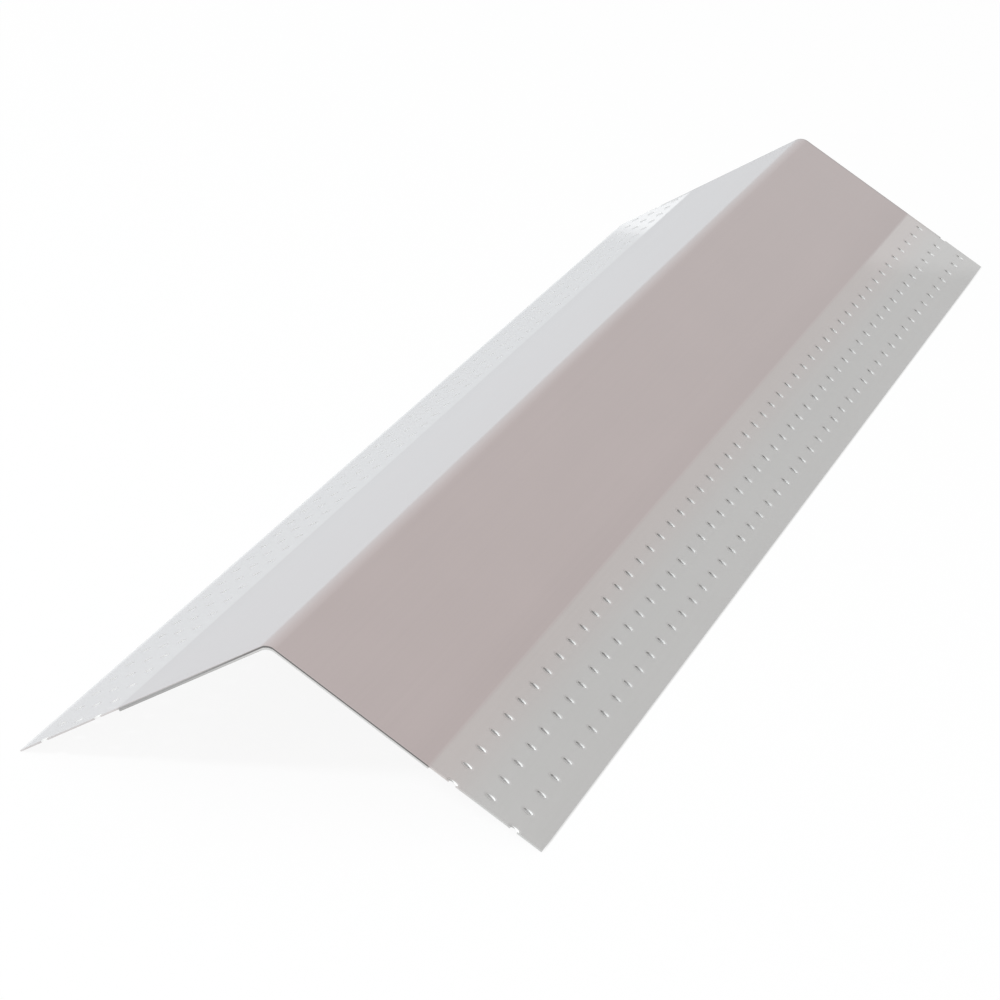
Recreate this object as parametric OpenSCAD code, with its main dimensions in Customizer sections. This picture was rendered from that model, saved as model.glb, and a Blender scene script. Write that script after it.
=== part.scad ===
// Outside corner bead for wall board: a perforated facing sheet folded over a rounded nose,
// with a narrower stiffening core laminated to its inside.
// The strip stands on its two wing edges with the nose up, its length along Y and centred.

/* [Strip] */
// Length of the cut piece
length = 305; // [60:1:600]
// Width of each flange, from the sharp outside corner to the wing edge
flange_w = 54; // [46:0.5:80]
// Angle between the two flanges as the strip stands free
open_angle = 118; // [84:1:150]
// Outside radius of the rounded nose
nose_r = 3; // [1.5:0.1:8]

/* [Layers] */
// Thickness of the perforated facing
facing_t = 0.3; // [0.15:0.05:0.6]
// Thickness of the stiffening core
core_t = 0.4; // [0.2:0.05:0.8]
// Width of each core leg, from the same sharp outside corner
core_leg = 32; // [20:0.5:40]

/* [Perforations] */
// Length of a slit, across the flange
slit_len = 1.9; // [1.2:0.1:3]
// Width of a slit at its middle
slit_w = 0.9; // [0.4:0.05:1.1]
// Spacing of the slits along a row
slit_pitch = 6.03; // [3:0.01:12]
// Spacing of neighbouring rows
row_gap = 6; // [3:0.1:10]
// Margin from the outer row to the wing edge
edge_margin = 5.5; // [3:0.1:8]
// Least margin from the core to the inner row
core_margin = 4; // [2:0.1:8]
// Distance from the cut end to the first slit
end_offset = 0.25; // [0:0.05:2.5]

/* [Hidden] */
$fn = 96;

// Fall of each flange below level
slope = 90 - open_angle / 2;
// Distance from the sharp corner to the line where the nose becomes flat
bend_run = nose_r * tan(slope);
// Height of the sharp outside corner, with the lower wing corners on the ground
corner_z = flange_w * sin(slope) + facing_t * cos(slope);
// Height of the axis that the nose is bent about
bend_z = corner_z - nose_r / cos(slope);
// Rows that fit between the core and the wing edge
row_count = floor((flange_w - core_leg - core_margin - edge_margin) / row_gap) + 1;
// Radius of the two arcs that enclose a slit
slit_arc_r = (pow(slit_len, 2) + pow(slit_w, 2)) / (4 * slit_w);

// Reach of the slit cutters past both faces of the facing
cut_over = 1;

// One pierced slit: two arcs that meet in a point at each end
module slit() {
    intersection_for (side = [-1, 1])
        translate([0, side * (slit_arc_r - slit_w / 2)])
            circle(r = slit_arc_r);
}

// All slits of one wing, drawn on a level flange; every second row is moved on by half a pitch
module slit_rows() {
    for (row = [0 : row_count - 1]) {
        across = flange_w - bend_run - edge_margin - row * row_gap;
        first = end_offset + (row % 2) * slit_pitch / 2;
        for (along = [first : slit_pitch : length])
            translate([across, along - length / 2])
                slit();
    }
}

// Places what is drawn on a level flange: X runs from the bend line to the wing edge, Y along the
// strip, and Z up from the axis of the bend
module in_flange() {
    translate([0, 0, bend_z])
        rotate([0, slope, 0])
            children();
}

// One half and its mirror image, which meet in the middle plane of the strip
module both_halves() {
    for (side = [0, 1])
        mirror([side, 0, 0])
            children();
}

// The right half of a folded layer, its outer face a depth below that of the strip
module half_layer(depth, thickness, width) {
    inner_r = nose_r - depth - thickness;
    in_flange()
        translate([0, -length / 2, inner_r])
            cube([width - bend_run, length, thickness]);
    // The bend is turned past the middle plane and cut off there
    intersection() {
        in_flange()
            rotate([90, 0, 0])
                rotate([0, 0, 90])
                    rotate_extrude(angle = 90)
                        translate([inner_r, -length / 2])
                            square([thickness, length]);
        translate([0, -length, 0])
            cube([flange_w, 2 * length, 2 * corner_z]);
    }
}

// Thin outer sheet, the full width of both flanges, pierced along its wings
module perforated_facing() {
    color([0.85, 0.85, 0.85])
        both_halves()
            difference() {
                half_layer(0, facing_t, flange_w);
                in_flange()
                    translate([0, 0, nose_r - facing_t - cut_over])
                        linear_extrude(facing_t + 2 * cut_over)
                            slit_rows();
            }
}

// Stiffer angle inside the facing, face to face with it
module stiffening_core() {
    color([0.70, 0.65, 0.63])
        both_halves()
            half_layer(facing_t, core_t, core_leg);
}

perforated_facing();
stiffening_core();
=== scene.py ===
"""Looks of a drywall corner bead: pierced facing film, stiffening core, studio and camera."""

import logging
import math
from dataclasses import dataclass, field
from enum import Enum
from typing import Any, Callable, Dict, List, Optional, Sequence, Tuple, Union

import bmesh
import bpy
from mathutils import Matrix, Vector


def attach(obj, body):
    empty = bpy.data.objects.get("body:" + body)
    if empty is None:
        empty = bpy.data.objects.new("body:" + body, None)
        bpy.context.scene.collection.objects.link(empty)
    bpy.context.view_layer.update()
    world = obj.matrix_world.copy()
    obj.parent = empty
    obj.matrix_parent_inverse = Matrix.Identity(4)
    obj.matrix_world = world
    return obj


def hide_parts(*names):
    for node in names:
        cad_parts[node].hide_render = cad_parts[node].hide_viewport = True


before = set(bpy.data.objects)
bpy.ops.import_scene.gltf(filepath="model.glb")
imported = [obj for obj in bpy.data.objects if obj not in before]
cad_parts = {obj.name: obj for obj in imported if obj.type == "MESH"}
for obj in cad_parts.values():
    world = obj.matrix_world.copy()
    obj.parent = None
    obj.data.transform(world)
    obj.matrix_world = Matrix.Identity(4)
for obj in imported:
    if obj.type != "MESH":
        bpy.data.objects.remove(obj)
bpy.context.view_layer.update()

MM = 0.001
WELD = 2e-6
LOG = logging.getLogger("corner_bead")

Colour = Tuple[float, float, float]
Place = Tuple[float, float, float]
Range = Tuple[float, float]

GLUE_LINE: Colour = (0.10, 0.09, 0.085)
# Painted light: the glue line is painted lighter on the left flange, where light falls on the cut ends
# differently.
PAINTED_LIT_GLUE: Colour = (0.34, 0.335, 0.33)
PLASTIC_IOR = 1.49
OVERSHOOT = 4 * MM
BEVEL_FROM = math.radians(60)
SMOOTH_UP_TO = math.radians(25)


class Slot(Enum):
    """Material slots of the record, one for each layer."""

    FACING = "facing"
    CORE = "core"


class FilmPart(Enum):
    """Parts of the film that have a material of their own, by its number."""

    COVER = 0
    WING = 1
    LIP = 2


class Modifier(Enum):
    """Modifiers that finish a mesh."""

    ARRAY = "ARRAY"
    MIRROR = "MIRROR"
    SOLIDIFY = "SOLIDIFY"
    BEVEL = "BEVEL"


@dataclass(frozen=True)
class Section:
    """Sizes that both layers of the strip share, in metres."""

    length: float = 305 * MM
    flange_w: float = 54 * MM
    slope: float = math.radians(31)
    nose_r: float = 3 * MM
    facing_t: float = 0.3 * MM
    core_t: float = 0.4 * MM
    core_leg: float = 32 * MM
    nose_steps: int = 9

    @property
    def bend_run(self) -> float:
        """Distance from the sharp corner to the line where the nose becomes flat."""
        return self.nose_r * math.tan(self.slope)

    @property
    def corner_z(self) -> float:
        """Height of the sharp outside corner."""
        return self.flange_w * math.sin(self.slope) + self.facing_t * math.cos(self.slope)


@dataclass(frozen=True)
class SlitPattern:
    """The rows of pierced slits on a wing, in metres."""

    pitch: float = 6.03 * MM
    row_gap: float = 6 * MM
    edge_margin: float = 5.5 * MM
    end_offset: float = 0.25 * MM
    slit_len: float = 1.9 * MM
    slit_w: float = 0.9 * MM
    rows: int = 3
    arc_steps: int = 20
    side_cuts: int = 3
    end_cuts: int = 1
    spare_cells: int = 3

    @property
    def arc_r(self) -> float:
        """Radius of the two arcs that enclose a slit."""
        return (self.slit_len**2 + self.slit_w**2) / (4 * self.slit_w)


class Bench:
    """Habits of modelling by hand: start clean, pick by place, apply a modifier."""

    @staticmethod
    def clear() -> None:
        """Go back to object mode with nothing selected."""
        if bpy.context.mode != "OBJECT":
            bpy.ops.object.mode_set(mode="OBJECT")
        bpy.ops.object.select_all(action="DESELECT")

    @staticmethod
    def take(piece: bpy.types.Object, edit: bool = False) -> None:
        """Make one piece the only selected and active object.

        Args:
            piece: The object to work on.
            edit: Whether to enter edit mode with nothing selected.
        """
        Bench.clear()
        piece.select_set(True)
        bpy.context.view_layer.objects.active = piece
        if edit:
            bpy.ops.object.mode_set(mode="EDIT")
            bpy.ops.mesh.select_mode(type="VERT")
            bpy.ops.mesh.select_all(action="DESELECT")

    @staticmethod
    def pick(inside: Callable[[Vector], bool], rim_only: bool = False) -> None:
        """Select the edges of the mesh in edit mode whose two ends lie in a place.

        Args:
            inside: Tells whether a vertex lies in the place.
            rim_only: Whether to take only edges that have fewer than two faces.
        """
        mesh = bpy.context.edit_object.data
        shape = bmesh.from_edit_mesh(mesh)
        bpy.ops.mesh.select_all(action="DESELECT")
        chosen = [e for e in shape.edges if all(inside(v.co) for v in e.verts)]
        for edge in chosen:
            if not rim_only or len(edge.link_faces) < 2:
                edge.select_set(True)
        bmesh.update_edit_mesh(mesh)

    @staticmethod
    def scale(factors: Place) -> None:
        """Scale the selection about the origin."""
        bpy.ops.transform.resize(value=factors, center_override=(0.0, 0.0, 0.0))

    @staticmethod
    def draw_out(move: Place) -> None:
        """Extrude the selected edges and move the new ones on."""
        bpy.ops.mesh.extrude_edges_indiv()
        bpy.ops.transform.translate(value=move)

    @staticmethod
    def cut_off(place: Place, towards: Place, fill: bool = False) -> None:
        """Cut the selection at a plane and drop what lies beyond it.

        Args:
            place: A point of the plane.
            towards: The side that is dropped.
            fill: Whether to close the cut.
        """
        bpy.ops.mesh.bisect(
            plane_co=place,
            plane_no=towards,
            clear_outer=True,
            use_fill=fill,
            threshold=WELD / 4,
        )

    @staticmethod
    def apply(piece: bpy.types.Object, kind: Modifier, **settings: Any) -> None:
        """Add a modifier to the active piece and apply it.

        Args:
            piece: The object that is active.
            kind: The modifier to add.
            settings: Its settings by name.
        """
        modifier = piece.modifiers.new(kind.name.title(), kind.value)
        for name, value in settings.items():
            setattr(modifier, name, value)
        bpy.ops.object.modifier_apply(modifier=modifier.name)


class Value:
    """One number output of a shader graph; arithmetic on it adds Math nodes."""

    def __init__(self, graph: "Graph", socket: bpy.types.NodeSocket) -> None:
        """Wrap a socket of a graph."""
        self.graph = graph
        self.socket = socket

    def _math(self, operation: str, *operands: "Number", clamp: bool = False) -> "Value":
        """Add a Math node.

        Args:
            operation: The node's operation.
            operands: Its inputs in order.
            clamp: Whether the result is held between 0 and 1.

        Returns:
            The node's result.
        """
        node = self.graph.node(
            "ShaderNodeMath",
            {"operation": operation, "use_clamp": clamp},
            dict(enumerate(operands)),
        )
        return Value(self.graph, node.outputs[0])

    def __add__(self, other: "Number") -> "Value":
        """Sum."""
        return self._math("ADD", self, other)

    __radd__ = __add__

    def __sub__(self, other: "Number") -> "Value":
        """Difference."""
        return self._math("SUBTRACT", self, other)

    def __rsub__(self, other: "Number") -> "Value":
        """Difference from a number."""
        return self._math("SUBTRACT", other, self)

    def __mul__(self, other: "Number") -> "Value":
        """Product."""
        return self._math("MULTIPLY", self, other)

    __rmul__ = __mul__

    def __truediv__(self, other: "Number") -> "Value":
        """Quotient."""
        return self._math("DIVIDE", self, other)

    def __abs__(self) -> "Value":
        """Size without sign."""
        return self._math("ABSOLUTE", self)

    def power(self, exponent: float) -> "Value":
        """The value raised to a power."""
        return self._math("POWER", self, exponent)

    def at_least(self, other: "Number") -> "Value":
        """The larger of two."""
        return self._math("MAXIMUM", self, other)

    def at_most(self, other: "Number") -> "Value":
        """The smaller of two."""
        return self._math("MINIMUM", self, other)

    def nearest_whole(self) -> "Value":
        """The nearest whole number."""
        return self._math("ROUND", self)

    def remainder(self, step: float) -> "Value":
        """What is left after whole steps, never negative."""
        return self._math("FLOORED_MODULO", self, step)

    def step_over(self, low: float, high: float) -> "Value":
        """A smooth step from 0 to 1, or back where high is below low.

        Args:
            low: The value where the step is 0.
            high: The value where the step is 1.

        Returns:
            The step.
        """
        node = self.graph.node(
            "ShaderNodeMapRange",
            {"interpolation_type": "SMOOTHSTEP"},
            {"Value": self, "From Min": min(low, high), "From Max": max(low, high)},
        )
        rise = Value(self.graph, node.outputs["Result"])
        return rise if high > low else 1.0 - rise


Number = Union[Value, float]
Input = Union[Value, bpy.types.NodeSocket, float, Sequence[float]]


@dataclass(frozen=True)
class Unevenness:
    """A noise pattern: its cells a metre along each axis, and its finer octaves."""

    cells: Place
    octaves: float = 2.0


class Graph:
    """The node tree of a material or a world."""

    def __init__(self, tree: bpy.types.NodeTree) -> None:
        """Take over a node tree and empty it."""
        self.tree = tree
        tree.nodes.clear()

    def node(
        self,
        kind: str,
        settings: Optional[Dict[str, Any]] = None,
        inputs: Optional[Dict[Union[str, int], Input]] = None,
    ) -> bpy.types.Node:
        """Add a node.

        Args:
            kind: The node's type.
            settings: Its settings by name, set first.
            inputs: Values or links of its sockets, by name or number.

        Returns:
            The node.
        """
        node = self.tree.nodes.new(kind)
        for name, value in (settings or {}).items():
            setattr(node, name, value)
        for key, value in (inputs or {}).items():
            socket = node.inputs[key]
            if isinstance(value, Value):
                self.tree.links.new(value.socket, socket)
            elif isinstance(value, bpy.types.NodeSocket):
                self.tree.links.new(value, socket)
            else:
                socket.default_value = value
        return node

    def mix(self, share: Number, first: Input, second: Input) -> bpy.types.NodeSocket:
        """Mix two colours.

        Args:
            share: How much of the second shows.
            first: A colour of four numbers or a link.
            second: A colour of four numbers or a link.

        Returns:
            The mixed colour.
        """
        node = self.node(
            "ShaderNodeMix",
            {"data_type": "RGBA"},
            {"Factor": share, 6: first, 7: second},
        )
        return node.outputs[2]

    def mix_shaders(
        self,
        share: Value,
        first: bpy.types.NodeSocket,
        second: bpy.types.NodeSocket,
    ) -> bpy.types.NodeSocket:
        """Mix two shaders by the share of the second."""
        return self.node("ShaderNodeMixShader", {}, {0: share, 1: first, 2: second}).outputs[0]

    def scaled(self, colour: Input, factor: Value) -> bpy.types.NodeSocket:
        """A colour times a number."""
        settings = {"operation": "SCALE"}
        return self.node("ShaderNodeVectorMath", settings, {0: colour, "Scale": factor}).outputs[0]

    def reading(self, kind: str, name: str) -> Value:
        """One number that a node without inputs gives."""
        return Value(self, self.node(kind).outputs[name])

    def noise(self, place: bpy.types.NodeSocket, pattern: Unevenness) -> Value:
        """A noise pattern on the piece, about 0.5.

        Args:
            place: The Object coordinates.
            pattern: Its cells and octaves.

        Returns:
            The noise.
        """
        mapped = self.node("ShaderNodeMapping", {}, {"Vector": place, "Scale": pattern.cells})
        node = self.node(
            "ShaderNodeTexNoise",
            {},
            {
                "Vector": mapped.outputs["Vector"],
                "Scale": 1.0,
                "Detail": pattern.octaves,
                "Roughness": 0.5,
            },
        )
        return Value(self, node.outputs["Fac"])

    def output(self, shader: bpy.types.NodeSocket, kind: str = "ShaderNodeOutputMaterial") -> None:
        """Link a shader to the tree's output."""
        self.node(kind, {}, {"Surface": shader})


def rgba(colour: Colour) -> Tuple[float, float, float, float]:
    """A colour with full alpha."""
    return (*colour, 1.0)


def new_material(name: str) -> bpy.types.Material:
    """A new material that uses nodes."""
    material = bpy.data.materials.new(name)
    material.use_nodes = True
    return material


@dataclass(frozen=True)
class FlangePlace:
    """Where a point lies on the folded strip, as values of a shader graph."""

    place: bpy.types.NodeSocket
    to_right: Value
    along: Value
    across: Value
    depth: Value
    side_fade: Range = (4 * MM, -20 * MM)

    @staticmethod
    def read(graph: Graph, section: Section) -> "FlangePlace":
        """Work out the place from Object coordinates.

        Args:
            graph: The graph to add nodes to.
            section: The sizes of the strip.

        Returns:
            The signed distances to the right and along the strip from its middle, the distance
            across the flange from the sharp corner, and the depth below the flat outer face.
        """
        place = graph.node("ShaderNodeTexCoord").outputs["Object"]
        axes = graph.node("ShaderNodeSeparateXYZ", {}, {"Vector": place}).outputs
        to_right, along, height = (Value(graph, axis) for axis in axes)
        side = abs(to_right)
        fall = section.corner_z - height
        across = side * math.cos(section.slope) + fall * math.sin(section.slope)
        depth = fall * math.cos(section.slope) - side * math.sin(section.slope)
        return FlangePlace(place, to_right, along, across, depth)

    def cut_end(self, section: Section, short_of: Range) -> Value:
        """How much a point belongs to a cut end.

        Args:
            section: The sizes of the strip.
            short_of: The distances from the end at which it starts to and at which it does.

        Returns:
            1 on the end and 0 away from it.
        """
        start, full = short_of
        half = section.length / 2
        return abs(self.along).step_over(half - start, half - full)

    def painted_side_light(self, graph: Graph, right: Colour, left: Colour) -> bpy.types.NodeSocket:
        """A colour of the cut ends, changed from one flange to the other as painted light and shade.

        Args:
            graph: The graph to add nodes to.
            right: The colour on the right flange.
            left: The colour on the left flange.

        Returns:
            The colour.
        """
        # Painted light and shade: the left flange's cut ends take a colour of their own.
        to_left = self.to_right.step_over(*self.side_fade)
        return graph.mix(to_left, rgba(right), rgba(left))

    def from_slit(self, section: Section, pattern: SlitPattern) -> Tuple[Value, Value]:
        """Where the point lies from the middle of the nearest slit.

        Args:
            section: The sizes of the strip.
            pattern: The rows of slits.

        Returns:
            The distance towards the nose, and the distance towards the far end of the strip.
        """
        first_row = section.flange_w - pattern.edge_margin
        inwards = first_row - self.across
        nearest = (inwards / pattern.row_gap).nearest_whole()
        row = nearest.at_least(0.0).at_most(pattern.rows - 1)
        shift = row.remainder(2.0) * (pattern.pitch / 2)
        start = section.length / 2 - pattern.end_offset + pattern.pitch / 2
        along = (self.along + start - shift).remainder(pattern.pitch) - pattern.pitch / 2
        return inwards - row * pattern.row_gap, along


@dataclass(frozen=True)
class Wear:
    """The uneven patterns on a piece, as values of its graph."""

    streaks: Value
    mottle: Value
    grain: Value


@dataclass(frozen=True)
class Patterns:
    """The uneven patterns of a surface."""

    streaks: Unevenness
    mottle: Unevenness
    grain: Unevenness

    def lay(self, graph: Graph, place: bpy.types.NodeSocket) -> Wear:
        """The patterns on a piece."""
        kinds = (self.streaks, self.mottle, self.grain)
        return Wear(*(graph.noise(place, kind) for kind in kinds))


@dataclass(frozen=True)
class Weights:
    """A number and what each pattern adds to it."""

    base: float
    streaks: float = 0.0
    mottle: float = 0.0
    grain: float = 0.0

    def total(self, wear: Wear) -> Value:
        """Add up the number and its patterns.

        Args:
            wear: The patterns on a piece.

        Returns:
            The sum.
        """
        shares = (self.streaks, self.mottle, self.grain)
        result = self.base
        for share, pattern in zip(shares, (wear.streaks, wear.mottle, wear.grain)):
            if share:
                result = result + share * pattern
        return result


@dataclass(frozen=True)
class Relief:
    """Fine bumps of a surface."""

    heights: Weights
    strength: float
    depth: float

    def normal(self, graph: Graph, wear: Wear) -> bpy.types.NodeSocket:
        """The bumped normal.

        Args:
            graph: The graph to add nodes to.
            wear: The patterns on the piece.

        Returns:
            The normal.
        """
        bump = graph.node(
            "ShaderNodeBump",
            {},
            {
                "Height": self.heights.total(wear),
                "Strength": self.strength,
                "Distance": self.depth,
            },
        )
        return bump.outputs["Normal"]


@dataclass(frozen=True)
class Spot:
    """An oval spot near a slit, in metres across and along the strip from the slit's middle."""

    middle: Range
    half: Range
    fade: Range

    def share(self, inwards: Value, along: Value) -> Value:
        """How much a point lies in the spot.

        Args:
            inwards: The point's distance from the slit's middle towards the nose.
            along: Its distance towards the far end.

        Returns:
            1 in the spot and 0 outside it.
        """
        across = (inwards - self.middle[0]) / self.half[0]
        onwards = (along - self.middle[1]) / self.half[1]
        return (across.power(2.0) + onwards.power(2.0)).step_over(*self.fade)


@dataclass(frozen=True)
class FilmFinish:
    """Satin plastic film, warmer where the core lies behind it and see-through on the wings; painted
    light gives the left flange tones of its own.
    """

    name: str
    section: Section
    pattern: SlitPattern
    see_through: float = 0.0
    wing_tone: Colour = (0.543, 0.535, 0.525)
    by_core_tone: Colour = (0.548, 0.500, 0.485)
    cover_tone: Colour = (0.478, 0.404, 0.395)
    # Painted light: the same film is given other tones on the left flange, for the light that falls
    # there.
    left_wing_painted_light: Colour = (0.570, 0.535, 0.530)
    left_cover_painted_light: Colour = (0.444, 0.398, 0.395)
    # Painted highlight: a whitened spot on the lit side of each slit, towards the wing edge and the
    # far end.
    painted_highlight_tone: Colour = (0.90, 0.90, 0.89)
    painted_highlight_share: float = 0.2
    side_fade: Range = (2 * MM, -2 * MM)
    wing_fade: Range = (-0.5 * MM, 0.5 * MM)
    warm_fade: Range = (11 * MM, 1.5 * MM)
    # Painted shadow: a darker band of the film over the core, towards the core's edge.
    rim_fade: Range = (-7 * MM, -1 * MM)
    rim_shadow_painted: float = 0.03
    end_face: Range = (0.02 * MM, 0.01 * MM)
    glue_depth: Range = (0.05 * MM, 0.16 * MM)
    far_end_dark_fade: Range = (-0.7 * MM, -0.3 * MM)
    far_end_dark_share: float = 0.35
    dip: Spot = Spot((0.0, 0.0), (1.35 * MM, 0.9 * MM), (1.0, 0.25))
    dip_depth: float = 0.10 * MM
    dip_rough: float = 0.12
    dip_solid: float = 0.6
    highlight_spot: Spot = Spot((-0.42 * MM, 0.40 * MM), (0.62 * MM, 0.22 * MM), (1.0, 0.35))
    patterns: Patterns = Patterns(
        streaks=Unevenness((1400.0, 9.0, 1400.0), 3.0),
        mottle=Unevenness((70.0, 40.0, 70.0)),
        grain=Unevenness((5200.0, 4200.0, 5200.0)),
    )
    shade: Weights = Weights(0.94, streaks=0.05, mottle=0.06, grain=0.03)
    rough: Weights = Weights(0.29, streaks=0.06, mottle=0.06)
    relief: Relief = Relief(Weights(0.0, streaks=0.55, grain=0.45), 0.10, 0.05 * MM)
    coat: float = 0.8
    coat_rough: float = 0.22

    def plain_tone(
        self,
        graph: Graph,
        at: FlangePlace,
        wing: Value,
        left: Value,
    ) -> bpy.types.NodeSocket:
        """The film's colour before wear, with painted light on the left flange.

        Args:
            graph: The graph to add nodes to.
            at: The place on the strip.
            wing: 1 on the free wings.
            left: 1 on the left flange.

        Returns:
            The colour over the core and on the wings.
        """
        # Painted light: the left flange takes the painted tones of the same film.
        cover = graph.mix(left, rgba(self.cover_tone), rgba(self.left_cover_painted_light))
        free = graph.mix(left, rgba(self.wing_tone), rgba(self.left_wing_painted_light))
        past_core = at.across - self.section.core_leg
        warm = past_core.step_over(*self.warm_fade) * (1.0 - left)
        return graph.mix(wing, cover, graph.mix(warm, free, rgba(self.by_core_tone)))

    def end_tone(
        self,
        graph: Graph,
        at: FlangePlace,
        wing: Value,
        tone: bpy.types.NodeSocket,
    ) -> bpy.types.NodeSocket:
        """The colour with the glue line of the cut ends and a darker band along the far one.

        Args:
            graph: The graph to add nodes to.
            at: The place on the strip.
            wing: 1 on the free wings.
            tone: The colour elsewhere.

        Returns:
            The colour.
        """
        covered = 1.0 - wing
        on_end = at.cut_end(self.section, self.end_face)
        glue = at.depth.step_over(*self.glue_depth) * covered * on_end
        # Painted light: the glue line turns lighter towards the left flange.
        tone = graph.mix(glue, tone, at.painted_side_light(graph, GLUE_LINE, PAINTED_LIT_GLUE))
        # The film over the core is darker in a narrow band along the far end.
        far_end_dark = (at.along - self.section.length / 2).step_over(*self.far_end_dark_fade) * covered
        return graph.mix(self.far_end_dark_share * far_end_dark, tone, rgba(GLUE_LINE))

    def make(self) -> bpy.types.Material:
        """Build the material.

        Returns:
            The film's material.
        """
        material = new_material(self.name)
        graph = Graph(material.node_tree)
        at = FlangePlace.read(graph, self.section)
        wear = self.patterns.lay(graph, at.place)
        past_core = at.across - self.section.core_leg
        wing = past_core.step_over(*self.wing_fade)
        left = at.to_right.step_over(*self.side_fade)
        from_slit = at.from_slit(self.section, self.pattern)
        dip = self.dip.share(*from_slit) * wing
        highlight_spot = self.highlight_spot.share(*from_slit) * wing

        # Painted shadow: the cover film darkens towards the core's edge.
        rim_shadow = past_core.step_over(*self.rim_fade) * (1.0 - wing)
        shade = self.shade.total(wear) - self.rim_shadow_painted * rim_shadow
        tone = graph.scaled(self.plain_tone(graph, at, wing, left), shade)
        # Painted highlight: the spot beside each slit is whitened.
        tone = graph.mix(self.painted_highlight_share * highlight_spot, tone, rgba(self.painted_highlight_tone))
        dipped = graph.node(
            "ShaderNodeBump",
            {},
            {
                "Height": 1.0 - dip,
                "Distance": self.dip_depth,
                "Normal": self.relief.normal(graph, wear),
            },
        )
        inputs = {
            "Base Color": self.end_tone(graph, at, wing, tone),
            "Roughness": self.rough.total(wear) + self.dip_rough * dip,
            "IOR": PLASTIC_IOR,
            "Coat Weight": self.coat,
            "Coat Roughness": self.coat_rough,
            "Normal": dipped.outputs["Normal"],
        }
        if self.see_through > 0.0:
            behind = graph.reading("ShaderNodeNewGeometry", "Backfacing")
            clear = self.see_through * wing * (1.0 - self.dip_solid * dip * (1.0 - left))
            inputs["Alpha"] = (1.0 - clear) * (1.0 - behind)
        graph.output(graph.node("ShaderNodeBsdfPrincipled", {}, inputs).outputs[0])
        return material


@dataclass(frozen=True)
class LipFinish:
    """Cut wall of a slit: a painted highlight in white at the top, and painted shade at the root
    towards the nose.
    """

    name: str
    section: Section
    pattern: SlitPattern
    # Painted highlight and painted shade: the wall is white where it is lit, and dull at its root.
    painted_lit_wall: Colour = (0.95, 0.95, 0.94)
    painted_root_shade: Colour = (0.50, 0.49, 0.48)
    tear: Unevenness = Unevenness((2600.0, 2600.0, 2600.0))
    tear_depth: float = 0.05 * MM
    root_slant: float = 0.35
    root_depth: Range = (0.17 * MM, 0.29 * MM)
    rough: float = 0.36
    rough_spread: float = 0.10

    def make(self) -> bpy.types.Material:
        """Build the material.

        Returns:
            The lips' material.
        """
        material = new_material(self.name)
        graph = Graph(material.node_tree)
        at = FlangePlace.read(graph, self.section)
        inwards, _ = at.from_slit(self.section, self.pattern)
        torn = graph.noise(at.place, self.tear) - 0.5
        sunk = at.depth + self.root_slant * inwards + self.tear_depth * torn
        # Painted shade: the wall darkens from the root up, reaching highest on the nose side.
        root = sunk.step_over(*self.root_depth)
        behind = graph.reading("ShaderNodeNewGeometry", "Backfacing")
        lip = graph.node(
            "ShaderNodeBsdfPrincipled",
            {},
            {
                "Base Color": graph.mix(root, rgba(self.painted_lit_wall), rgba(self.painted_root_shade)),
                "Roughness": self.rough + self.rough_spread * torn,
                "IOR": PLASTIC_IOR,
                "Alpha": 1.0 - behind,
            },
        )
        graph.output(lip.outputs[0])
        return material


@dataclass(frozen=True)
class CoreFinish:
    """Matt, slightly mottled taupe plastic board, with pale cut ends that carry painted shade on the
    left flange.
    """

    name: str
    section: Section
    board_tone: Colour = (0.44, 0.385, 0.365)
    cut_tone: Colour = (0.60, 0.59, 0.58)
    # Painted shade: the cut face on the left flange is painted darker, where less light falls on it.
    shaded_cut_painted: Colour = (0.36, 0.355, 0.35)
    end_face: Range = (0.05 * MM, 0.03 * MM)
    line_fade: float = 0.12 * MM
    patterns: Patterns = Patterns(
        streaks=Unevenness((900.0, 12.0, 900.0)),
        mottle=Unevenness((90.0, 45.0, 90.0), 3.0),
        grain=Unevenness((3600.0, 3600.0, 3600.0)),
    )
    shade: Weights = Weights(0.90, streaks=0.06, mottle=0.10, grain=0.06)
    rough: Weights = Weights(0.47, mottle=0.10, grain=0.08)
    relief: Relief = Relief(Weights(0.0, streaks=0.4, grain=0.6), 0.18, 0.08 * MM)
    ior: float = 1.47

    def make(self) -> bpy.types.Material:
        """Build the material.

        Returns:
            The core's material.
        """
        s = self.section
        material = new_material(self.name)
        graph = Graph(material.node_tree)
        at = FlangePlace.read(graph, s)
        wear = self.patterns.lay(graph, at.place)
        body = graph.scaled(self.board_tone, self.shade.total(wear))
        inner = at.depth.step_over(s.facing_t, s.facing_t + self.line_fade)
        # Painted light and shade: the glue line and cut face change colour towards the left flange.
        line = at.painted_side_light(graph, GLUE_LINE, PAINTED_LIT_GLUE)
        face = at.painted_side_light(graph, self.cut_tone, self.shaded_cut_painted)
        tone = graph.mix(at.cut_end(s, self.end_face), body, graph.mix(inner, line, face))
        board = graph.node(
            "ShaderNodeBsdfPrincipled",
            {},
            {
                "Base Color": tone,
                "Roughness": self.rough.total(wear),
                "IOR": self.ior,
                "Normal": self.relief.normal(graph, wear),
            },
        )
        graph.output(board.outputs[0])
        return material


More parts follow.
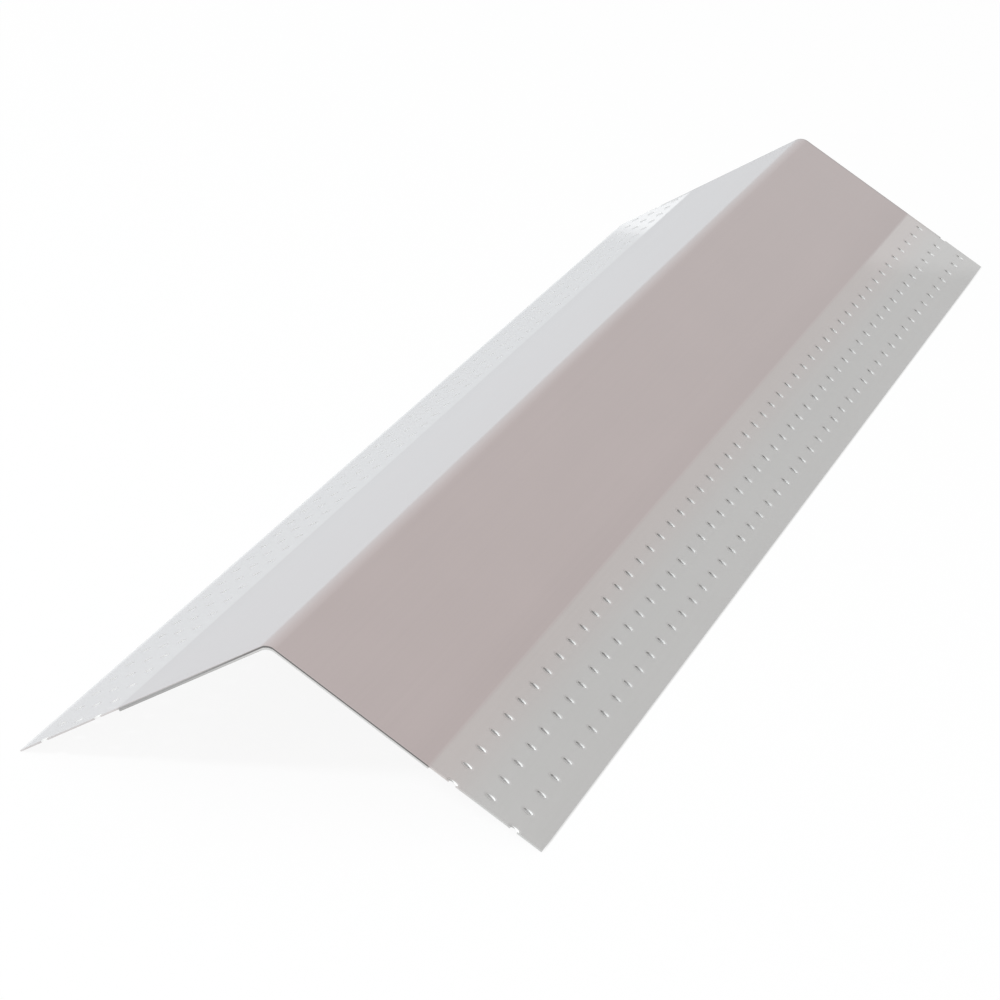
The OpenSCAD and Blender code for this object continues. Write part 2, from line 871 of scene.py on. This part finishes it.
@dataclass
class FoldedLayer:
    """A sheet bent over the nose.

    One flange is made flat, spun on round half of the nose, laid on its slope, mirrored and thickened.
    """

    name: str
    node: str
    slot: Slot
    section: Section
    outer_depth: float
    thickness: float
    edge_round: float
    piece: Optional[bpy.types.Object] = None

    def flat_flange(self) -> bpy.types.Object:
        """Model one flange lying flat, its outer face in the plane of Z at the layer's depth.

        Returns:
            The flange, with X across it from the sharp corner and Y along the strip.
        """
        raise NotImplementedError

    def materials(self) -> List[bpy.types.Material]:
        """The layer's materials, in the order of its mesh's material slots."""
        raise NotImplementedError

    def build(self) -> bpy.types.Object:
        """Model the layer.

        Returns:
            The finished piece.
        """
        piece = self.flat_flange()
        piece.name = self.name
        piece.data.name = self.name
        self.piece = piece
        self.spin_nose()
        self.lay_on_slope()
        self.face_outwards()
        self.thicken()
        self.trim_ends()
        self.soften()
        return piece

    def spin_nose(self) -> None:
        """Bend half of the nose on from the flange's inner edge."""
        run = self.section.bend_run
        Bench.take(self.piece, edit=True)
        Bench.pick(lambda v: abs(v.x - run) < WELD, rim_only=True)
        bpy.ops.mesh.spin(
            steps=self.section.nose_steps,
            angle=self.section.slope,
            center=(run, 0.0, -self.section.nose_r),
            axis=(0.0, 1.0, 0.0),
        )
        Bench.clear()

    def lay_on_slope(self) -> None:
        """Turn the flange to its slope, lift it to the corner and mirror it to the other side."""
        piece = self.piece
        Bench.take(piece)
        piece.rotation_euler = (0.0, self.section.slope, 0.0)
        piece.location = (0.0, 0.0, self.section.corner_z)
        bpy.ops.object.transform_apply(location=True, rotation=True, scale=True)
        Bench.apply(
            piece,
            Modifier.MIRROR,
            use_axis=(True, False, False),
            use_mirror_merge=True,
            merge_threshold=2 * WELD,
        )

    def face_outwards(self) -> None:
        """Weld the bent sheet and turn its faces outwards."""
        Bench.take(self.piece, edit=True)
        bpy.ops.mesh.select_all(action="SELECT")
        bpy.ops.mesh.remove_doubles(threshold=WELD)
        bpy.ops.mesh.normals_make_consistent(inside=False)
        Bench.clear()
        if sum(f.normal.z * f.area for f in self.piece.data.polygons) < 0:
            Bench.take(self.piece, edit=True)
            bpy.ops.mesh.select_all(action="SELECT")
            bpy.ops.mesh.flip_normals()
            Bench.clear()

    def thicken(self) -> None:
        """Give the sheet its wall, inwards from its outer face."""
        Bench.take(self.piece)
        Bench.apply(
            self.piece,
            Modifier.SOLIDIFY,
            thickness=self.thickness,
            offset=-1.0,
            use_even_offset=False,
            use_rim=True,
        )

    def trim_ends(self) -> None:
        """Cut the solid strip to length and close its two ends."""
        half = self.section.length / 2
        Bench.take(self.piece, edit=True)
        for end in (-1.0, 1.0):
            bpy.ops.mesh.select_all(action="SELECT")
            Bench.cut_off((0.0, end * half, 0.0), (0.0, end, 0.0), fill=True)
        bpy.ops.mesh.select_all(action="SELECT")
        bpy.ops.mesh.normals_make_consistent(inside=False)
        Bench.clear()

    def soften(self) -> None:
        """Take the sharpness off the edges and smooth the bend."""
        Bench.take(self.piece)
        if self.edge_round > 0.0:
            Bench.apply(
                self.piece,
                Modifier.BEVEL,
                width=self.edge_round,
                segments=1,
                limit_method="ANGLE",
                angle_limit=BEVEL_FROM,
            )
        bpy.ops.object.shade_smooth_by_angle(angle=SMOOTH_UP_TO)

    def dress(self) -> None:
        """Give the piece its materials and join it to the frame."""
        for material in self.materials():
            self.piece.data.materials.append(material)
        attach(self.piece, "root")
        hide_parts(self.node)


@dataclass
class PerforatedFacing(FoldedLayer):
    """The full-width film, pierced along both wings by rows of pointed slits."""

    pattern: SlitPattern = field(default_factory=SlitPattern)

    def near_slit(self, place: Vector) -> bool:
        """Whether a point of the first cell lies on the slit."""
        p = self.pattern
        return abs(place.x) < p.slit_len / 2 + WELD and abs(place.y) < p.slit_w / 2 + WELD

    def pierced_cell(self) -> bpy.types.Object:
        """Model one slit in its rectangle of film, about the origin.

        Returns:
            The cell.
        """
        p = self.pattern
        Bench.clear()
        bpy.ops.mesh.primitive_plane_add(size=1.0, enter_editmode=True)
        cell = bpy.context.object
        bpy.ops.mesh.select_all(action="SELECT")
        Bench.scale((p.row_gap, p.pitch, 1.0))
        bpy.ops.mesh.delete(type="ONLY_FACE")
        for side in (-1.0, 1.0):
            Bench.pick(lambda v: v.x * side > 0.0)
            bpy.ops.mesh.subdivide(number_cuts=p.side_cuts)
            Bench.pick(lambda v: abs(v.y - side * p.pitch / 2) < WELD)
            bpy.ops.mesh.subdivide(number_cuts=p.end_cuts)
        bpy.ops.mesh.select_all(action="DESELECT")

        bpy.ops.mesh.primitive_circle_add(
            vertices=p.arc_steps,
            radius=p.arc_r,
            fill_type="NOTHING",
            location=(0.0, p.arc_r - p.slit_w / 2, 0.0),
        )
        Bench.cut_off((0.0, 0.0, 0.0), (0.0, 1.0, 0.0))
        Bench.pick(self.near_slit)
        bpy.ops.mesh.duplicate()
        Bench.scale((1.0, -1.0, 1.0))
        Bench.pick(self.near_slit)
        bpy.ops.mesh.remove_doubles(threshold=WELD)
        bpy.ops.mesh.select_all(action="SELECT")
        bpy.ops.mesh.bridge_edge_loops()
        Bench.clear()
        return cell

    def flat_flange(self) -> bpy.types.Object:
        """Repeat the cell into staggered rows and run the film on to the wing edge and the nose.

        Returns:
            The flat flange, longer than the strip at both ends.
        """
        p, s = self.pattern, self.section
        cell = self.pierced_cell()
        Bench.take(cell)
        outer_row = s.flange_w - p.edge_margin
        cell.location = (outer_row, p.end_offset - s.length / 2 - p.pitch, 0.0)
        bpy.ops.object.transform_apply(location=True, rotation=True, scale=True)
        Bench.apply(
            cell,
            Modifier.ARRAY,
            count=int(s.length / p.pitch) + p.spare_cells,
            use_relative_offset=False,
            use_constant_offset=True,
            constant_offset_displace=(0.0, p.pitch, 0.0),
            use_merge_vertices=True,
            merge_threshold=WELD,
        )
        Bench.take(cell, edit=True)
        bpy.ops.mesh.select_all(action="SELECT")
        for row in range(1, p.rows):
            bpy.ops.mesh.duplicate()
            stagger = p.pitch / 2 if row % 2 else -p.pitch / 2
            bpy.ops.transform.translate(value=(-p.row_gap, stagger, 0.0))
        bpy.ops.mesh.select_all(action="SELECT")
        bpy.ops.mesh.remove_doubles(threshold=WELD)

        wing_side = outer_row + p.row_gap / 2
        nose_side = outer_row - (p.rows - 0.5) * p.row_gap
        Bench.pick(lambda v: abs(v.x - wing_side) < WELD, rim_only=True)
        Bench.draw_out((s.flange_w - wing_side, 0.0, 0.0))
        Bench.pick(lambda v: abs(v.x - nose_side) < WELD, rim_only=True)
        Bench.draw_out((s.core_leg - nose_side, 0.0, 0.0))
        Bench.draw_out((s.bend_run - s.core_leg, 0.0, 0.0))
        Bench.clear()
        return cell

    def materials(self) -> List[bpy.types.Material]:
        """The film over the core, the see-through film of the wings, and the lips of the slits."""
        cover = FilmFinish("facing_over_core", self.section, self.pattern)
        wings = FilmFinish("facing_wings", self.section, self.pattern, see_through=0.09)
        lips = LipFinish("slit_lips", self.section, self.pattern)
        return [cover.make(), wings.make(), lips.make()]

    def dress(self) -> None:
        """Dress the film; the faces of the free wings and of the slits get their own materials."""
        super().dress()
        s = self.section
        lean, fall = math.cos(s.slope), math.sin(s.slope)
        for face in self.piece.data.polygons:
            x, y, z = face.center
            across = abs(x) * lean + (s.corner_z - z) * fall
            side = math.copysign(1.0, x)
            upright = abs(face.normal.x * side * fall + face.normal.z * lean) < 0.5
            inside = abs(y) < s.length / 2 - WELD and across < s.flange_w - WELD
            if across > s.core_leg:
                part = FilmPart.LIP if upright and inside else FilmPart.WING
                face.material_index = part.value


@dataclass
class StiffeningCore(FoldedLayer):
    """The plain angle laminated to the inside of the film."""

    def flat_flange(self) -> bpy.types.Object:
        """Lay one leg of the core flat, a film's thickness down.

        Returns:
            The leg, a little longer than the strip.
        """
        s = self.section
        Bench.clear()
        bpy.ops.mesh.primitive_plane_add(size=1.0, enter_editmode=True)
        leg = bpy.context.object
        bpy.ops.mesh.select_all(action="SELECT")
        Bench.scale((s.core_leg - s.bend_run, s.length + OVERSHOOT, 1.0))
        middle = (s.core_leg + s.bend_run) / 2
        bpy.ops.transform.translate(value=(middle, 0.0, -self.outer_depth))
        Bench.clear()
        return leg

    def materials(self) -> List[bpy.types.Material]:
        """The core's board."""
        return [CoreFinish("core_board", self.section).make()]


@dataclass(frozen=True)
class SoftBox:
    """A soft studio lamp that looks at the strip."""

    name: str
    place: Place
    size: float
    power: float
    colour: Colour
    look_at: Place = (0.0, 0.0, 10 * MM)

    def hang(self) -> None:
        """Add the lamp."""
        Bench.clear()
        bpy.ops.object.light_add(type="AREA", location=self.place)
        lamp = bpy.context.object
        lamp.name = self.name
        lamp.data.shape = "DISK"
        lamp.data.size = self.size
        lamp.data.energy = self.power
        lamp.data.color = self.colour
        aim = Vector(self.look_at) - Vector(self.place)
        lamp.rotation_euler = aim.to_track_quat("-Z", "Y").to_euler()


@dataclass(frozen=True)
class LitMouth:
    """Floor under the near end that light falls on through the open mouth, in metres.

    The light reaches in as far as the nearer of two slanting lines on the floor.
    """

    reach: float = 32.9 * MM
    slant: float = 0.713
    left_reach: float = 109.4 * MM
    left_slant: float = 2.371
    fade: Range = (0.2 * MM, 4 * MM)

    def shaded(self, to_right: Value, inwards: Value) -> Value:
        """Where the light of the mouth ends.

        Args:
            to_right: The distance to the right of the strip's middle.
            inwards: The distance from the near end.

        Returns:
            1 past the light and 0 in it.
        """
        first = self.reach - self.slant * to_right
        second = self.left_reach + self.left_slant * to_right
        return (inwards - first.at_most(second)).step_over(*self.fade)


@dataclass
class Studio:
    """White floor and surroundings, a soft lamp, and the camera at the photograph's angle."""

    section: Section
    mouth: LitMouth = LitMouth()
    floor_size: float = 6.0
    floor_tones: Tuple[Colour, Colour] = ((0.84, 0.84, 0.84), (0.88, 0.88, 0.88))
    speck: Unevenness = Unevenness((300.0, 300.0, 300.0))
    floor_gloss: Colour = (0.852, 0.926, 0.968)
    shadow_share: float = 0.08
    roof_shade: float = 0.78
    far_fade: Range = (4 * MM, -14 * MM)
    edge_fade: Range = (0.5 * MM, -0.5 * MM)
    glare: Colour = (2.6, 2.6, 2.6)
    glare_fade: Range = (10 * MM, -10 * MM)
    sky_level: float = 0.70
    sky_gloss: Colour = (0.70, 0.71, 0.72)
    sky_tone: Colour = (1.0, 0.985, 0.97)
    azimuth: float = math.radians(21.232)
    elevation: float = math.radians(23.062)
    camera_place: Place = (0.187541, -0.534252, 0.232947)
    lens: float = 107.657
    sensor: float = 36.0
    clip_start: float = 10 * MM
    lamp: SoftBox = SoftBox(
        name="key",
        place=(-1.1, -1.1, 1.556),
        size=0.35,
        power=30.0,
        colour=(0.92, 0.97, 1.0),
    )

    def backdrop(self, graph: Graph, gloss: Colour) -> Tuple[Value, bpy.types.NodeSocket]:
        """What the white surroundings look like, apart from how they light the strip.

        Args:
            graph: The graph to add nodes to.
            gloss: How they look in a reflection.

        Returns:
            1 for rays that see the surroundings and 0 for rays that carry light, and the colour
            seen, which is white from the camera and through the film.
        """
        path = graph.node("ShaderNodeLightPath").outputs
        camera, glossy, glass = (
            Value(graph, path[name])
            for name in ("Is Camera Ray", "Is Glossy Ray", "Is Transmission Ray")
        )
        tone = graph.mix(glossy, (1.0, 1.0, 1.0, 1.0), rgba(gloss))
        return camera.at_least(glossy).at_least(glass), tone

    def roofed(self, to_right: Value, along: Value, behind_film: Value) -> Value:
        """Where the strip shades the floor, apart from the light of its near mouth.

        Args:
            to_right: The floor's distance to the right of the strip's middle.
            along: Its distance along the strip from the middle.
            behind_film: 1 where it is seen through the film, with no light of the mouth.

        Returns:
            1 on the shaded floor and 0 elsewhere.
        """
        half_w = self.section.flange_w * math.cos(self.section.slope)
        half_l = self.section.length / 2
        past_mouth = self.mouth.shaded(to_right, along + half_l).at_least(behind_film)
        before_end = (along - half_l).step_over(*self.far_fade)
        under = (abs(to_right) - half_w).step_over(*self.edge_fade)
        return under * past_mouth * before_end

    def floor_material(self) -> bpy.types.Material:
        """Build the floor's material.

        Returns:
            White to the eye with a light shadow, as it is lit where the strip shades it, overexposed
            where it shows through the left film, and clear to the eye from below.
        """
        material = new_material("studio_floor")
        graph = Graph(material.node_tree)
        place = graph.node("ShaderNodeTexCoord").outputs["Object"]
        axes = graph.node("ShaderNodeSeparateXYZ", {}, {"Vector": place}).outputs
        to_right, along = Value(graph, axes[0]), Value(graph, axes[1])
        eye = graph.reading("ShaderNodeLightPath", "Is Camera Ray")
        behind_film = graph.reading("ShaderNodeLightPath", "Transparent Depth").at_most(1.0)
        roofed = self.roofed(to_right, along, behind_film)

        first, second = self.floor_tones
        tone = graph.mix(graph.noise(place, self.speck), rgba(first), rgba(second))
        paint = graph.node("ShaderNodeBsdfDiffuse", {}, {"Color": tone}).outputs[0]
        seen, white = self.backdrop(graph, self.floor_gloss)
        bright = behind_film * eye * to_right.step_over(*self.glare_fade) * (1.0 - roofed)
        white = graph.mix(bright, white, rgba(self.glare))
        light = graph.node("ShaderNodeEmission", {}, {"Color": white, "Strength": 1.0}).outputs[0]
        glow = seen * (1.0 - self.shadow_share) * (1.0 - self.roof_shade * roofed)
        top = graph.mix_shaders(glow, paint, light)
        clear = graph.node("ShaderNodeBsdfTransparent").outputs[0]
        below = graph.reading("ShaderNodeNewGeometry", "Backfacing")
        graph.output(graph.mix_shaders(below * eye, top, clear))
        return material

    def lay_floor(self) -> None:
        """Add the floor under the strip."""
        Bench.clear()
        bpy.ops.mesh.primitive_plane_add(size=self.floor_size)
        floor = bpy.context.object
        floor.name = "studio_floor"
        floor.data.materials.append(self.floor_material())

    def light_world(self) -> None:
        """Surround the strip with even light that looks white."""
        world = bpy.data.worlds.new("studio")
        world.use_nodes = True
        bpy.context.scene.world = world
        graph = Graph(world.node_tree)
        seen, white_tone = self.backdrop(graph, self.sky_gloss)
        level = tuple(self.sky_level * c for c in self.sky_tone)
        tone = graph.mix(seen, rgba(level), white_tone)
        sky = graph.node("ShaderNodeBackground", {}, {"Color": tone, "Strength": 1.0})
        graph.output(sky.outputs[0], "ShaderNodeOutputWorld")

    def set_camera(self) -> None:
        """Put the camera where the photograph was taken from."""
        Bench.clear()
        bpy.ops.object.camera_add(
            location=self.camera_place,
            rotation=(math.pi / 2 - self.elevation, 0.0, self.azimuth),
        )
        camera = bpy.context.object
        camera.name = "camera"
        camera.data.sensor_width = self.sensor
        camera.data.lens = self.lens
        camera.data.clip_start = self.clip_start
        bpy.context.scene.camera = camera

    def build(self) -> None:
        """Set up floor, light and camera."""
        self.lay_floor()
        self.light_world()
        self.lamp.hang()
        self.set_camera()
        bpy.context.scene.view_settings.view_transform = "Standard"


def main() -> None:
    """Build and dress both layers, then the studio."""
    logging.basicConfig(level=logging.INFO, format="%(name)s: %(message)s")
    section = Section()
    layers: List[FoldedLayer] = [
        PerforatedFacing(
            name="facing_film",
            node="perforated_facing",
            slot=Slot.FACING,
            section=section,
            outer_depth=0.0,
            thickness=section.facing_t,
            edge_round=0.0,
        ),
        StiffeningCore(
            name="core_angle",
            node="stiffening_core",
            slot=Slot.CORE,
            section=section,
            outer_depth=section.facing_t,
            thickness=section.core_t,
            edge_round=0.06 * MM,
        ),
    ]
    for layer in layers:
        piece = layer.build()
        layer.dress()
        LOG.info("%s: %d faces", piece.name, len(piece.data.polygons))
    Studio(section).build()


if __name__ == "__main__":
    main()
